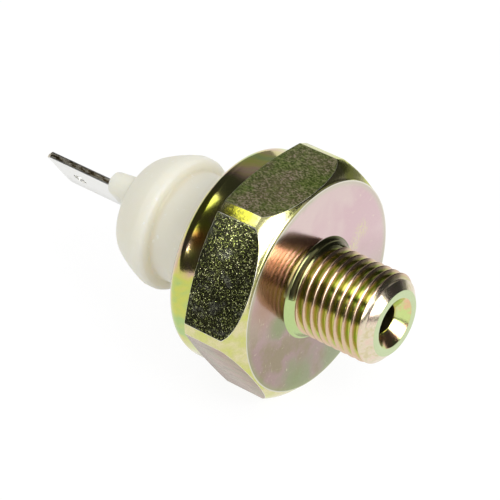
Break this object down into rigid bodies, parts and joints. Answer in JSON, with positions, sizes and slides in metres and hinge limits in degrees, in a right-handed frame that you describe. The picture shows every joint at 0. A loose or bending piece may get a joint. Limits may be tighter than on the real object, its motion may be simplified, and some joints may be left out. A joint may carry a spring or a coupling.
{
  "type": "oil pressure sender",
  "caption": "Screw-in oil pressure sender: hexagon body with threaded stub and oil port, crimped nylon insulator and a push-on blade; a sprung contact moves inside.",
  "frame": {"origin": "centre of the seat face, where the axis of the stub crosses its plane", "axes": "+X along the stub towards its tip, +Z square to the upper flat of the hexagon; the part lies on the opposite flat"},
  "size_m": [0.0466, 0.0268, 0.0238],
  "materials": {
    "zinc_steel": "yellow zinc passivated steel, green and pink sheen",
    "black_rubber": "smooth moulded rubber",
    "amber_film": "glossy amber film",
    "plain_steel": "plain turned steel",
    "brown_moulding": "matt brown moulding",
    "brass_sheet": "pressed brass sheet",
    "spring_steel": "drawn spring wire",
    "ivory_nylon": "satin ivory nylon",
    "tinned_brass": "bright tinned brass strip"
  },
  "bodies": {
    "housing": {"hex_body": "zinc_steel", "seal_ring": "black_rubber", "diaphragm": "amber_film", "contact_ring": "plain_steel", "return_spring": "spring_steel", "flange_gasket": "black_rubber", "insulator": "ivory_nylon", "contact_foot": "brass_sheet", "terminal_blade": "tinned_brass"},
    "plunger": {"pusher": "brown_moulding", "moving_contact": "brass_sheet"}
  },
  "joints": [
    {"name": "contact_slide", "type": "slide", "parent": "housing", "child": "plunger", "axis": [-1, 0, 0], "range_m": [0, 0.0004], "stiffness_N_per_m": 870, "deforming": ["return_spring"]}
  ]
}
